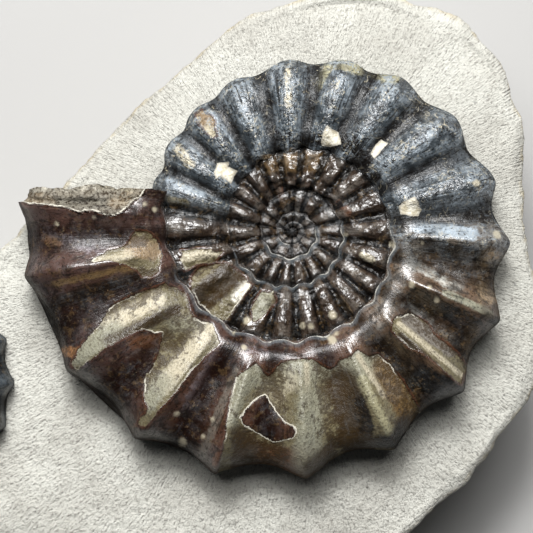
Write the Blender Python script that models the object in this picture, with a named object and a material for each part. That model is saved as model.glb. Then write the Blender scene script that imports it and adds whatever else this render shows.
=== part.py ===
"""An Androgynoceras ammonite and a smaller one beside it, on a loose block of pale limestone.

Units are metres and +Z is up. The origin lies on the flat resting face, under the middle of the block.
The ammonites lie on their sides on the block's upper face, so their coil axes are vertical. Along a coil,
the wind angle is in degrees, clockwise seen from above from the +X direction, and it grows outwards.
"""
import math
from dataclasses import dataclass

import bmesh
import bpy
import numpy as np
from mathutils import Vector, noise

MM = 0.001

# Coil sizes, in millimetres and degrees, for the large ammonite: 70 mm across with 18 ribs in its last whorl.
APERTURE_WIND = 556.0
WHORL_GROWTH = 1.9
APERTURE_SEAM_RADIUS = 19.6
VENTER_WINDS = (196.0, 250.0, 305.0, 363.0, 425.0, 487.0, 556.0)
VENTER_RADII = (21.4, 23.6, 27.2, 31.5, 35.1, 37.7, 40.1)
RIB_HEIGHT_WINDS = (196.0, 250.0, 312.0, 373.0, 440.0, 500.0, 556.0)
RIB_HEIGHTS = (0.7, 0.95, 1.4, 2.4, 2.4, 2.0, 1.8)
RIB_CRESTS = (
    -160.0, -143.0, -124.0, -108.0, -92.0, -75.0, -57.0, -39.0, -19.0, -1.0, 18.0, 34.0, 49.0, 65.0, 80.0,
    96.0, 112.0, 131.0, 150.0, 165.0, 182.0, 198.0, 214.0, 230.4, 247.8, 268.0, 287.4, 305.4, 325.2, 345.4,
    363.0, 383.4, 403.2, 424.8, 447.0, 468.0, 487.2, 508.2, 530.4, 546.0,
)
INNERMOST_RIB_STEP = 17.0
ROUND_RIB_POWER, KEEN_RIB_POWER = 1.6, 1.0
RIBS_TURN_KEEN = (300.0, 380.0)
RIB_CREST_ROUNDING = 0.01
RIBS_RISE_AT_ANGLES = (30.0, 75.0)
FLANK_RIB_SHARE = 0.8
HALF_THICKNESS_SHARE = 0.425
SECTION_POWER = 2.3
SEAM_COSINE = 0.86
BROKEN_LIP_OFFSET = 5.8
BROKEN_LIP_BEARING = 540.0

# Heights above the resting face.
BLOCK_TOP = 26.2
CONTACT_LEVEL = 26.6
SOCKET_GAP = 0.3

# Outline of the block seen from above, clockwise from the notch on its upper left.
BLOCK_OUTLINE = (
    (-24.5, 7.5), (-20.6, 10.9), (-13.4, 18.2), (-5.5, 26.8), (0.1, 31.9), (6.1, 37.0), (10.6, 40.5),
    (15.9, 42.7), (20.6, 44.2), (27.3, 45.3), (33.5, 44.7), (37.9, 42.9), (41.5, 42.0), (44.7, 40.5),
    (47.1, 37.9), (49.6, 35.5), (51.1, 32.2), (51.7, 28.5), (52.9, 25.4), (52.7, 15.5), (53.6, 9.6),
    (55.5, -0.6), (55.8, -8.0), (54.4, -14.8), (52.0, -18.2), (47.4, -24.6), (41.8, -30.0), (36.5, -35.1),
    (27.3, -41.3), (12.5, -44.7), (-5.3, -45.0), (-26.0, -42.6), (-41.0, -39.0), (-50.8, -32.5),
    (-54.8, -22.8), (-55.8, -13.2), (-54.5, -5.0), (-49.3, 2.1), (-40.7, 4.9), (-31.6, 4.4),
)
OUTLINE_CENTRE = (-2.0, -4.8)
BLOCK_COLUMNS = 104
TOP_RINGS = (0.2, 0.4, 0.58, 0.74, 0.87, 0.955)
RIM_DROP = 1.6
# Each side ring as its height and how far it lies inside the rim, from the rim down to the resting face.
SIDE_RINGS = ((23.2, 0.0), (20.6, 0.5), (15.5, 1.1), (9.5, 2.2), (4.5, 4.6), (1.3, 7.4), (0.0, 10.0))
TOP_ROUGHNESS, TOP_LUMP_LENGTH = 0.35, 11.0
SIDE_ROUGHNESS, SIDE_LUMP_LENGTH = 2.2, 14.0


@dataclass
class Coil:
    """One ammonite: where its axis stands, how large it is, and how finely it is faceted."""
    name: str
    centre: tuple
    mid_height: float
    floor_height: float
    size: float
    turn: float
    whorls: int
    column_spacing: float
    flank_rows: int
    venter_rows: int


LARGE = Coil("ammonite", (18.7, 9.5), 30.0, 24.0, 1.0, 0.0, 4, 2.2, 4, 5)
SMALL = Coil("small_ammonite", (-39.2, -11.3), 27.9, 24.9, 0.481, 277.8, 3, 4.0, 3, 4)


def curve_through(x, stations, values):
    """Value at x of a smooth curve through the stations, with Catmull-Rom slopes."""
    s, v = np.asarray(stations, float), np.asarray(values, float)
    slopes = np.gradient(v, s)
    x = min(max(x, s[0]), s[-1])
    i = min(int(np.searchsorted(s, x, side="right")) - 1, len(s) - 2)
    span = s[i + 1] - s[i]
    t = (x - s[i]) / span
    return float(
        v[i] * (1 + 2 * t) * (1 - t) ** 2 + v[i + 1] * t * t * (3 - 2 * t)
        + span * (slopes[i] * t * (1 - t) ** 2 - slopes[i + 1] * t * t * (1 - t))
    )


def smooth_step(x, low, high):
    t = min(max((x - low) / (high - low), 0.0), 1.0)
    return t * t * (3 - 2 * t)


def in_last_whorl(wind, stations, values):
    """A size listed for the last whorl, carried inwards by the growth of one whorl per turn."""
    shrink = 1.0
    while wind < stations[0]:
        wind += 360.0
        shrink /= WHORL_GROWTH
    return curve_through(wind, stations, values) * shrink


def seam_radius(wind):
    """Where the inner wall of a whorl meets the whorl before it."""
    return APERTURE_SEAM_RADIUS * WHORL_GROWTH ** ((wind - APERTURE_WIND) / 360.0)


def venter_radius(wind):
    return in_last_whorl(wind, VENTER_WINDS, VENTER_RADII)


def rib_phase(wind):
    """Whole numbers fall on rib crests."""
    if wind < RIB_CRESTS[0]:
        return (wind - RIB_CRESTS[0]) / INNERMOST_RIB_STEP
    count = len(RIB_CRESTS)
    return float(np.interp(wind, (*RIB_CRESTS, APERTURE_WIND), (*range(count), count - 0.5)))


def rib_profile(wind):
    """1 on a crest and 0 in the hollow between two ribs; crests are keener in the later, larger part."""
    power = ROUND_RIB_POWER + (KEEN_RIB_POWER - ROUND_RIB_POWER) * smooth_step(wind, *RIBS_TURN_KEEN)
    wave = math.sin(math.pi * rib_phase(wind)) ** 2 + RIB_CREST_ROUNDING
    low = RIB_CREST_ROUNDING ** (power / 2)
    high = (1 + RIB_CREST_ROUNDING) ** (power / 2)
    return 1 - (wave ** (power / 2) - low) / (high - low)


def signed_power(value, power):
    return math.copysign(abs(value) ** power, value)


def section_sizes(wind):
    """Centre radius, half width and half thickness of the whorl section."""
    seam, venter = seam_radius(wind), venter_radius(wind)
    half_width = (venter - seam) / (1 + SEAM_COSINE)
    return venter - half_width, half_width, HALF_THICKNESS_SHARE * (venter - seam)


def shell_point(wind, angle):
    """Radius and height above the middle plane of the ribbed surface; angle runs round the whorl section,
    0 at its inner side, 90 on its upper flank and 180 on the venter."""
    centre, half_width, half_thickness = section_sizes(wind)
    cosine, sine = math.cos(math.radians(angle)), math.sin(math.radians(angle))
    radius = centre - half_width * signed_power(cosine, 2 / SECTION_POWER)
    height = half_thickness * signed_power(sine, 2 / SECTION_POWER)
    reach = smooth_step(angle, *RIBS_RISE_AT_ANGLES)
    reach *= FLANK_RIB_SHARE + (1 - FLANK_RIB_SHARE) * smooth_step(angle, 90.0, 170.0)
    relief = in_last_whorl(wind, RIB_HEIGHT_WINDS, RIB_HEIGHTS) * reach * (rib_profile(wind) - 1)
    return radius - relief * cosine, height + relief * sine


def junction_angle(wind):
    """Section angle at which the next whorl begins."""
    centre, half_width, _ = section_sizes(wind)
    cosine = (seam_radius(wind + 360.0) - centre) / half_width
    return 180.0 - math.degrees(math.acos(min(cosine, 0.999) ** (SECTION_POWER / 2)))


def contact_angle(wind, depth):
    """Section angle at which the underside of the venter has sunk by depth below the middle plane."""
    half_thickness = section_sizes(wind)[2]
    return 180.0 + math.degrees(math.asin(min((depth / half_thickness) ** (SECTION_POWER / 2), 0.9)))


def lip_wind(wind, radius):
    """Shifts the end of the last whorl onto the straight line along which the shell is broken off."""
    share = max(0.0, (wind - RIB_CRESTS[-1]) / (APERTURE_WIND - RIB_CRESTS[-1]))
    line = BROKEN_LIP_BEARING + math.degrees(math.asin(min(BROKEN_LIP_OFFSET / radius, 1.0)))
    return wind + share * (line - APERTURE_WIND)


def column_winds(spacing):
    """Wind angles of one whorl's columns: the crests and hollows of the last whorl, and then those of the
    whorls before it that lie at least the spacing away from every column so far."""
    first = APERTURE_WIND - 360.0
    crests = np.asarray(RIB_CRESTS)
    marks = sorted([*crests, *(crests[1:] + crests[:-1]) / 2], reverse=True)
    taken = [first]
    for mark in marks:
        wind = float(mark) + 360.0 * math.ceil((first - mark) / 360.0)
        if min(abs(wind - other) for other in (*taken, APERTURE_WIND)) >= spacing:
            taken.append(wind)
    return sorted(taken)


def coil_point(coil, wind, radius, height):
    angle = math.radians(lip_wind(wind, radius) + coil.turn)
    x = coil.centre[0] + coil.size * radius * math.cos(angle)
    y = coil.centre[1] - coil.size * radius * math.sin(angle)
    return Vector((x, y, coil.mid_height + coil.size * height)) * MM


def build_coil(coil):
    """The ammonite as one closed mesh, and the outline of its foot for the socket that holds it."""
    turn = column_winds(coil.column_spacing)
    per_whorl = len(turn)
    winds = [w - 360.0 * (coil.whorls - 1 - k) for k in range(coil.whorls) for w in turn] + [APERTURE_WIND]
    last = len(winds) - 1
    rows = coil.flank_rows
    contact_depth = (coil.mid_height - CONTACT_LEVEL) / coil.size
    mesh = bmesh.new()

    def vertex(wind, angle):
        return mesh.verts.new(coil_point(coil, wind, *shell_point(wind, angle)))

    seam_angle = math.degrees(math.acos(SEAM_COSINE ** (SECTION_POWER / 2)))
    flank = []
    for i, wind in enumerate(winds):
        if i >= per_whorl:
            column = [flank[i - per_whorl][rows]]
        else:
            column = [mesh.verts.new(coil_point(coil, wind, seam_radius(wind), 0.0))]
        outer = junction_angle(wind)
        column += [vertex(wind, seam_angle + (outer - seam_angle) * k / rows) for k in range(1, rows + 1)]
        flank.append(column)

    venter = {}
    for i in range(last - per_whorl, last + 1):
        start, end = junction_angle(winds[i]), contact_angle(winds[i], contact_depth)
        column = [flank[i][rows]]
        column += [
            vertex(winds[i], start + (end - start) * k / coil.venter_rows)
            for k in range(1, coil.venter_rows + 1)
        ]
        foot = column[-1].co.copy()
        foot.z = coil.floor_height * MM
        column.append(mesh.verts.new(foot))
        venter[i] = column

    for strip in (flank, [venter[i] for i in sorted(venter)]):
        for here, there in zip(strip, strip[1:]):
            for k in range(len(here) - 1):
                mesh.faces.new((here[k], there[k], there[k + 1], here[k + 1]))

    feet = [venter[i][-1] for i in sorted(venter)]
    mesh.faces.new(feet)
    broken_end = flank[last][:-1] + venter[last] + list(reversed(venter[last - per_whorl]))[:-1]
    mesh.faces.new(broken_end)

    start_hole = [flank[i][0] for i in range(per_whorl)] + list(reversed(flank[0]))[:-1]
    first_chamber = sum((v.co for v in start_hole), Vector()) / len(start_hole)
    first_chamber.z = start_hole[0].co.z + section_sizes(winds[0])[2] * coil.size * MM
    tip = mesh.verts.new(first_chamber)
    for a, b in zip(start_hole, start_hole[1:] + start_hole[:1]):
        mesh.faces.new((a, b, tip))

    outline = [(v.co.x, v.co.y) for v in feet]
    bmesh.ops.recalc_face_normals(mesh, faces=mesh.faces)
    return add_object(coil.name, mesh, FOSSIL), outline


def grown_outline(points, gap):
    """The closed outline moved outwards by the gap."""
    p = np.asarray(points)
    along = np.roll(p, -1, 0) - np.roll(p, 1, 0)
    normal = np.stack([along[:, 1], -along[:, 0]], 1)
    normal /= np.linalg.norm(normal, axis=1)[:, None]
    area = np.sum(p[:, 0] * np.roll(p[:, 1], -1) - np.roll(p[:, 0], -1) * p[:, 1])
    return p + normal * gap * math.copysign(1.0, area)


def socket_cutter(coil, outline):
    """A prism that cuts the socket for one ammonite out of the block."""
    mesh = bmesh.new()
    floor = (coil.floor_height - SOCKET_GAP) * MM
    ring = [mesh.verts.new((x, y, floor)) for x, y in grown_outline(outline, SOCKET_GAP * MM)]
    bottom = mesh.faces.new(ring)
    top = bmesh.ops.extrude_face_region(mesh, geom=[bottom])
    raised = [g for g in top["geom"] if isinstance(g, bmesh.types.BMVert)]
    bmesh.ops.translate(mesh, verts=raised, vec=(0, 0, 2 * coil.floor_height * MM))
    bmesh.ops.recalc_face_normals(mesh, faces=mesh.faces)
    cutter = add_object(coil.name + "_socket_cutter", mesh, STONE)
    cutter.hide_render = True
    cutter.display_type = "WIRE"
    return cutter


def outline_radius(angle):
    """Distance from the outline's centre to the block's rim in one direction, by a smooth closed curve."""
    rim = [(x - OUTLINE_CENTRE[0], y - OUTLINE_CENTRE[1]) for x, y in BLOCK_OUTLINE]
    polar = sorted((math.atan2(y, x) % math.tau, math.hypot(x, y)) for x, y in rim)
    angles = [a for a, _ in polar]
    radii = [r for _, r in polar]
    wrap = 3
    angles = [a - math.tau for a in angles[-wrap:]] + angles + [a + math.tau for a in angles[:wrap]]
    radii = radii[-wrap:] + radii + radii[:wrap]
    return curve_through(angle % math.tau, angles, radii)


def build_block():
    """The limestone block: a gently domed upper face, rough sides that draw in, and a flat resting face."""
    mesh = bmesh.new()
    angles = [math.tau * j / BLOCK_COLUMNS for j in range(BLOCK_COLUMNS)]
    rim = [outline_radius(a) for a in angles]

    def spot(angle, radius, height):
        return Vector((radius * math.cos(angle), radius * math.sin(angle), height))

    def ring(spots):
        return [mesh.verts.new((s + Vector((*OUTLINE_CENTRE, 0.0))) * MM) for s in spots]

    rings = []
    for share in TOP_RINGS:
        spots = [spot(a, share * r, 0.0) for a, r in zip(angles, rim)]
        for s in spots:
            s.z = BLOCK_TOP - RIM_DROP * share ** 4 + TOP_ROUGHNESS * (noise.noise(s / TOP_LUMP_LENGTH) - 1)
        rings.append(ring(spots))
    for height, inset in SIDE_RINGS:
        spots = []
        for a, r in zip(angles, rim):
            lump = noise.noise(spot(a, r, height) / SIDE_LUMP_LENGTH)
            shift = SIDE_ROUGHNESS * (lump - 0.3) * min(inset, 1.0)
            spots.append(spot(a, r - inset + shift, height + lump * min(height, 1.0)))
        rings.append(ring(spots))

    middle = mesh.verts.new(Vector((*OUTLINE_CENTRE, BLOCK_TOP - TOP_ROUGHNESS)) * MM)
    for j in range(BLOCK_COLUMNS):
        k = (j + 1) % BLOCK_COLUMNS
        mesh.faces.new((middle, rings[0][j], rings[0][k]))
        for upper, lower in zip(rings, rings[1:]):
            mesh.faces.new((upper[j], lower[j], lower[k], upper[k]))
    mesh.faces.new(rings[-1])
    bmesh.ops.recalc_face_normals(mesh, faces=mesh.faces)
    return add_object("limestone_block", mesh, STONE)


def add_material(name, colour, roughness):
    material = bpy.data.materials.new(name)
    material.use_nodes = True
    shader = material.node_tree.nodes["Principled BSDF"]
    shader.inputs["Base Color"].default_value = (*colour, 1.0)
    shader.inputs["Roughness"].default_value = roughness
    shader.inputs["Metallic"].default_value = 0.0
    return material


def add_object(name, mesh, material):
    data = bpy.data.meshes.new(name)
    mesh.to_mesh(data)
    mesh.free()
    data.materials.append(material)
    obj = bpy.data.objects.new(name, data)
    bpy.context.scene.collection.objects.link(obj)
    return obj


def smooth(obj, crease_angle):
    obj.data.shade_smooth()
    obj.data.set_sharp_from_angle(angle=math.radians(crease_angle))


for old in list(bpy.data.objects):
    bpy.data.objects.remove(old)

FOSSIL = add_material("fossil_shell", (0.11, 0.075, 0.06), 0.25)
STONE = add_material("pale_limestone", (0.72, 0.69, 0.62), 0.9)

block = build_block()
for coil_spec in (LARGE, SMALL):
    shell, foot_outline = build_coil(coil_spec)
    smooth(shell, 50.0)
    socket = block.modifiers.new(coil_spec.name + "_socket", "BOOLEAN")
    socket.operation = "DIFFERENCE"
    socket.solver = "EXACT"
    socket.object = socket_cutter(coil_spec, foot_outline)
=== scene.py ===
"""Looks of a fossil Androgynoceras ammonite and a smaller one, in a loose block of pale limestone.

Lengths are in millimetres unless a name says otherwise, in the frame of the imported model: +Z up, origin on
the resting face. Along a coil, the wind angle is in degrees, clockwise seen from above from +X, and grows
outwards. Marks on the large shell are placed by a bearing, measured in the same way, and a radius in
photograph pixels from the middle of its coil, as the camera sees them.
"""
import math
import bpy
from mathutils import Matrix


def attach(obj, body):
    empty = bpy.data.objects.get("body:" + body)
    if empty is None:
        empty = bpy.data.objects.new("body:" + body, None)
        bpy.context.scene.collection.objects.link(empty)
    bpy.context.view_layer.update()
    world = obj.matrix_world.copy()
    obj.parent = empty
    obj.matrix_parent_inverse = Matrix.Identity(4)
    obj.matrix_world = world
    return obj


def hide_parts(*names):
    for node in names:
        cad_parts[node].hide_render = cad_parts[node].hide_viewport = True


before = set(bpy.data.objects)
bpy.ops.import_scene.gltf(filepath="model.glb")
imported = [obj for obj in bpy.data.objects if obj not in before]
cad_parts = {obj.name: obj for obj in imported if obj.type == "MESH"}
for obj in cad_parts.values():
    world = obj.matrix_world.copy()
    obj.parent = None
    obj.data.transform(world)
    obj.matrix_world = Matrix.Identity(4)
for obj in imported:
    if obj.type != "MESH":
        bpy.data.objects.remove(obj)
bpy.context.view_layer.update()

from types import SimpleNamespace

import bpy
import numpy as np
from mathutils import Vector, noise

MM = 0.001

# Photograph: its size and middle in pixels, the size of a pixel at the shells' middle height, and the camera.
PHOTO_MIDDLE = np.array((266.5, 266.5))
PHOTO_WIDTH = 533
PIXEL = 0.145
COIL_MIDDLE_IN_PHOTO = np.array((292.5, 231))
CAMERA_SPOT = np.array((14.93, 4.36, 330))

# Coil sizes of the large ammonite.
APERTURE_WIND = 556
WHORL_GROWTH = 1.9
SEAM_WINDS = (-360, -270, -180, -90, 0, 90, 180, 240, 300, 360, 420, 480, 540, 556)
SEAM_RADII = (3.3, 3.84, 4.57, 5.95, 7.03, 7.83, 9.43, 10.8, 12.54, 14.07, 15.2, 16.3, 18.3, 19)
INNER_SEAM_GROWTH = 2.05
VENTER_WINDS = (196, 250, 305, 363, 425, 487, 556)
VENTER_RADII = (21.16, 23.6, 27.2, 31.5, 35.1, 37.7, 40.2)
RIB_HEIGHT_WINDS = (
    -1244, -884, -540, -360, -160, -130, -110, -70, -45, 0, 100, 196, 250, 312, 373, 440, 500, 556,
)
RIB_HEIGHTS = (
    0.02, 0.1, 0.3, 0.45, 0.75, 0.75, 0.3, 0.3, 0.85, 0.95, 0.95, 0.8, 0.9, 1.3, 2.5, 2.6, 2.3, 1.8,
)
VENTER_RIB_SHARE = 0.9
RIB_START_WINDS = (-420, -340, 150, 220)
RIB_START_ANGLES = (32, 40, 40, 46)
RIB_CRESTS = (
    -645, -603, -569, -540, -521, -498, -463, -438, -415, -382, -361, -340,
    -319, -299, -278, -261, -245, -223, -202, -182, -160, -143, -124, -108, -92,
    -75, -57, -39, -19, -1, 18, 34, 49, 65, 80, 96, 112, 131, 150, 165,
    182, 198, 214, 230.4, 247.8, 268, 287.4, 305.4, 325.2, 345.4, 363, 383.4, 403.2, 424.8,
    447, 468, 487.2, 508.2, 530.4, 546,
)
INNERMOST_RIB_STEP = 36
RIB_POWER_WINDS = (100, 250, 340, 363, 400)
RIB_POWERS = (3, 2.4, 2, 1.3, 1)
RIB_CREST_ROUNDING = 0.01
THICKNESS_WINDS = (-360, 100, 220)
HALF_THICKNESS_SHARES = (0.5, 0.5, 0.425)
SECTION_POWER = 2.3
SEAM_COSINE_WINDS = (120, 230)
SEAM_COSINES = (0.95, 0.86)
SCALLOP = 0.38
SCALLOP_START = (-700, -400)

# Section angles in degrees: how far round a rib takes to rise, and where the seam's waves fade, the ribs
# weaken, and the last ribs, from the footless winds on, lose most of their foot.
RIB_RISE = 34
SEAM_WAVES_FADE = (30, 48)
RIB_WEAKENING = (90, 165)
RIB_FOOT = (178, 200)
FOOTLESS_WINDS = (440, 500)
FOOT_LOSS = 0.8

# The line along which the shell is broken off: offsets at radii, and how rough it is.
BROKEN_LIP_BEARING = 540
BROKEN_LIP_RADII = (17, 19.9, 22.4, 26.6, 30.1, 34.1, 36.6, 37.9, 39.4, 41)
BROKEN_LIP_OFFSETS = (5.8, 5.8, 5.5, 6.1, 6.2, 5.9, 6.1, 5.5, 4.9, 4.7)
BROKEN_LIP_ROUGHNESS = 0.45
# The broken face: rings as shares of its size, the height of its lumps, and the section angle that marks it.
BROKEN_FACE_RINGS = (0.9, 0.7, 0.45, 0.2)
BROKEN_FACE_LUMPS = 0.35
BROKEN_FACE_ANGLE = 270
SHELL_END_ANGLE = 260
# The level at which the shells meet the stone.
CONTACT_LEVEL = 26.4

# The block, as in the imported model.
BLOCK_OUTLINE = (
    (-24.5, 7.5), (-20.6, 10.9), (-13.4, 18.2), (-5.5, 26.8), (0.1, 31.9), (6.1, 37), (10.6, 40.5),
    (15.9, 42.7), (20.6, 44.2), (27.3, 45.3), (33.5, 44.7), (37.9, 42.9), (41.5, 42), (44.7, 40.5),
    (47.1, 37.9), (49.6, 35.5), (51.1, 32.2), (51.7, 28.5), (52.9, 25.4), (52.7, 15.5), (53.6, 9.6),
    (55.5, -0.6), (55.8, -8), (54.4, -14.8), (52, -18.2), (47.4, -24.6), (41.8, -30), (36.5, -35.1),
    (27.3, -41.3), (12.5, -44.7), (-5.3, -45), (-26, -42.6), (-41, -39), (-50.8, -32.5),
    (-54.8, -22.8), (-55.8, -13.2), (-54.5, -5), (-49.3, 2.1), (-40.7, 4.9), (-31.6, 4.4),
)
OUTLINE_CENTRE = np.array((-2, -4.8))
BLOCK_TOP = 26.2
RIM_DROP = 1.6
TOP_EDGE_INSET = 2.3
# From the top's edge down the side: the height of each station, and how far it lies inside the rim.
SIDE_HEIGHTS = (24.6, 23.2, 20.6, 15.5, 9.5, 4.5, 1.3, 0)
SIDE_INSETS = (2, 0, 0.5, 1.1, 2.2, 4.6, 7.4, 10)
# Rings of the mesh: on the top as shares of the way to its edge, and down the side by station.
TOP_RINGS = (*np.linspace(0.02, 0.25, 12, endpoint=False), *np.linspace(0.25, 1, 100))
SIDE_RINGS = np.linspace(0, len(SIDE_HEIGHTS) - 1, 40)[1:]
BLOCK_COLUMNS = 640
SOCKET_MARGIN = 0.25

# The two ammonites: where the axis stands, the height of the middle plane, the size and turn, how far the
# mesh reaches below that plane, the floor of the socket in the stone, and the strength of the fine relief.
# Then the columns of the mesh to a turn, the rows across the flank of each whorl from the innermost outwards,
# and the rows of the venter.
LARGE = SimpleNamespace(
    name="ammonite_shell", centre=np.array((18.7, 9.5)), mid_height=30, size=1, turn=0, foot=6,
    socket_floor=23.7, relief=1, columns=640, flank_rows=(6, 12, 24, 24, 48), venter_rows=28, seed=1,
)
SMALL = SimpleNamespace(
    name="small_ammonite_shell", centre=np.array((-39.2, -11.3)), mid_height=27.9, size=0.481, turn=277.8,
    foot=3, socket_floor=24.6, relief=0.5, columns=360, flank_rows=(4, 8, 16, 32), venter_rows=18, seed=2,
)


def curve_through(x, stations, values):
    """Values at x of a smooth curve through the stations, with slopes from their neighbours."""
    s = np.asarray(stations, float)
    v = np.asarray(values, float)
    slopes = np.gradient(v, s)
    x = np.clip(x, s[0], s[-1])
    i = np.clip(np.searchsorted(s, x, side="right") - 1, 0, len(s) - 2)
    span = s[i + 1] - s[i]
    t = (x - s[i]) / span
    return (
        v[i] * (1 + 2 * t) * (1 - t) ** 2 + v[i + 1] * t * t * (3 - 2 * t)
        + span * (slopes[i] * t * (1 - t) ** 2 - slopes[i + 1] * t * t * (1 - t))
    )


def ramp(x, low, high):
    """0 below low and 1 above high, with a smooth change between."""
    t = np.clip((x - low) / (high - low), 0, 1)
    return t * t * (3 - 2 * t)


def band(x, rise, fall):
    """1 between a smooth rise and a smooth fall, each given by its two ends, and 0 beyond them."""
    return ramp(x, *rise) * (1 - ramp(x, *fall))


def lattice_value(ix, iy, iz, seed):
    """A repeatable value from -1 to 1 for each whole-number place."""
    n = (ix * 73856093) ^ (iy * 19349663) ^ (iz * 83492791) ^ (seed * 2654435761)
    n = (n ^ (n >> 13)) * 1274126177
    n = n ^ (n >> 16)
    return (n & 0xFFFF) / 32767.5 - 1


def value_noise(points, length, seed):
    """Smooth noise from -1 to 1 with lumps of about the given length."""
    p = points / length + 100
    cell = np.floor(p).astype(np.int64)
    f = p - cell
    f = f * f * f * (f * (f * 6 - 15) + 10)
    total = np.zeros(len(p))
    for corner in range(8):
        shift = np.array((corner & 1, corner >> 1 & 1, corner >> 2 & 1))
        weight = np.prod(np.where(shift, f, 1 - f), axis=1)
        total += weight * lattice_value(*(cell + shift).T, seed)
    return total


def fractal_noise(points, length, octaves, seed):
    total = np.zeros(len(points))
    for octave in range(octaves):
        total += value_noise(points, length / 2 ** octave, seed + octave) / 2 ** octave
    return total


def in_last_whorl(wind, stations, values):
    """A size listed for the last whorl, carried inwards by the growth of one whorl per turn."""
    turns_in = np.maximum(np.ceil((stations[0] - wind) / 360), 0)
    return curve_through(wind + 360 * turns_in, stations, values) * WHORL_GROWTH ** -turns_in


def rib_phase(wind):
    """Whole numbers fall on rib crests."""
    count = len(RIB_CRESTS)
    phase = np.interp(wind, (*RIB_CRESTS, APERTURE_WIND), (*range(count), count - 0.5))
    return np.where(wind < RIB_CRESTS[0], (wind - RIB_CRESTS[0]) / INNERMOST_RIB_STEP, phase)


def rib_profile(wind):
    """1 on a crest and 0 in the hollow between two ribs. The early ribs are broad with narrow gaps between
    them, and the late ones are keen with wide hollows."""
    power = np.interp(wind, RIB_POWER_WINDS, RIB_POWERS)
    wave = np.sin(np.pi * rib_phase(wind)) ** 2 + RIB_CREST_ROUNDING
    low = RIB_CREST_ROUNDING ** (power / 2)
    high = (1 + RIB_CREST_ROUNDING) ** (power / 2)
    return 1 - (wave ** (power / 2) - low) / (high - low)


def smooth_seam_radius(wind):
    """Radius of the inner side of a whorl, without the seam's small waves."""
    base = curve_through(wind, SEAM_WINDS, SEAM_RADII)
    before = SEAM_RADII[0] * INNER_SEAM_GROWTH ** ((wind - SEAM_WINDS[0]) / 360)
    return np.where(wind < SEAM_WINDS[0], before, base)


def seam_radius(wind):
    """Where a whorl's inner wall meets the whorl before it; the line creeps inwards on that whorl's ribs."""
    base = smooth_seam_radius(wind)
    scallop = SCALLOP * np.sqrt(base / SEAM_RADII[-1]) * ramp(wind, *SCALLOP_START)
    return base - scallop * (2 * rib_profile(wind - 360) - 1)


def seam_cosine(wind):
    """The share of the section's half width inside its centre; the early whorls have steeper inner walls."""
    return np.interp(wind, SEAM_COSINE_WINDS, SEAM_COSINES)


def section_sizes(wind):
    """Centre radius, half width and half thickness of the whorl section."""
    seam = smooth_seam_radius(wind)
    venter = in_last_whorl(wind, VENTER_WINDS, VENTER_RADII)
    half_width = (venter - seam) / (1 + seam_cosine(wind))
    share = np.interp(wind, THICKNESS_WINDS, HALF_THICKNESS_SHARES)
    return venter - half_width, half_width, share * (venter - seam)


def signed_power(value, power):
    return np.sign(value) * np.abs(value) ** power


def shell_point(wind, angle):
    """Radius, and height above the middle plane, of the ribbed surface. The angle runs round the whorl
    section: 0 on its inner side, 90 on its upper flank, 180 on the venter."""
    centre, half_width, half_thickness = section_sizes(wind)
    cosine = np.cos(np.radians(angle))
    sine = np.sin(np.radians(angle))
    waves = (seam_radius(wind) - smooth_seam_radius(wind)) * (1 - ramp(angle, *SEAM_WAVES_FADE))
    radius = centre - half_width * signed_power(cosine, 2 / SECTION_POWER) + waves
    height = half_thickness * signed_power(sine, 2 / SECTION_POWER)
    start = np.interp(wind, RIB_START_WINDS, RIB_START_ANGLES)
    reach = ramp(angle, start, start + RIB_RISE)
    reach = reach * (1 + (VENTER_RIB_SHARE - 1) * ramp(angle, *RIB_WEAKENING))
    reach = reach * (1 - FOOT_LOSS * ramp(wind, *FOOTLESS_WINDS) * ramp(angle, *RIB_FOOT))
    relief = np.interp(wind, RIB_HEIGHT_WINDS, RIB_HEIGHTS) * reach * (rib_profile(wind) - 1)
    return radius - relief * cosine, height + relief * sine


def junction_angle(wind):
    """Section angle at which the next whorl begins."""
    centre, half_width, _ = section_sizes(wind)
    cosine = (seam_radius(wind + 360) - centre) / half_width
    return 180 - np.degrees(np.arccos(np.clip(cosine, 0, 0.999) ** (SECTION_POWER / 2)))


def contact_angle(wind, depth):
    """Section angle at which the underside of the venter has sunk by depth below the middle plane."""
    half_thickness = section_sizes(wind)[2]
    return 180 + np.degrees(np.arcsin(np.minimum((depth / half_thickness) ** (SECTION_POWER / 2), 0.9)))


def lip_wind(wind, radius):
    """Shifts the end of the last whorl onto the uneven line along which the shell is broken off."""
    share = np.clip((wind - RIB_CRESTS[-1]) / (APERTURE_WIND - RIB_CRESTS[-1]), 0, 1)
    offset = curve_through(radius, BROKEN_LIP_RADII, BROKEN_LIP_OFFSETS)
    places = np.stack(np.broadcast_arrays(radius, 0, 0), axis=-1).reshape(-1, 3)
    roughness = fractal_noise(places, length=2.5, octaves=3, seed=7).reshape(np.shape(radius))
    offset = offset + BROKEN_LIP_ROUGHNESS * roughness
    line = BROKEN_LIP_BEARING + np.degrees(np.arcsin(np.minimum(offset / radius, 1)))
    return wind + share * (line - APERTURE_WIND)


def coil_points(coil, wind, radius, height):
    angle = np.radians(lip_wind(wind, radius) + coil.turn)
    x = coil.centre[0] + coil.size * radius * np.cos(angle)
    y = coil.centre[1] - coil.size * radius * np.sin(angle)
    return np.stack([x, y, coil.mid_height + coil.size * height], axis=-1)


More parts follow.
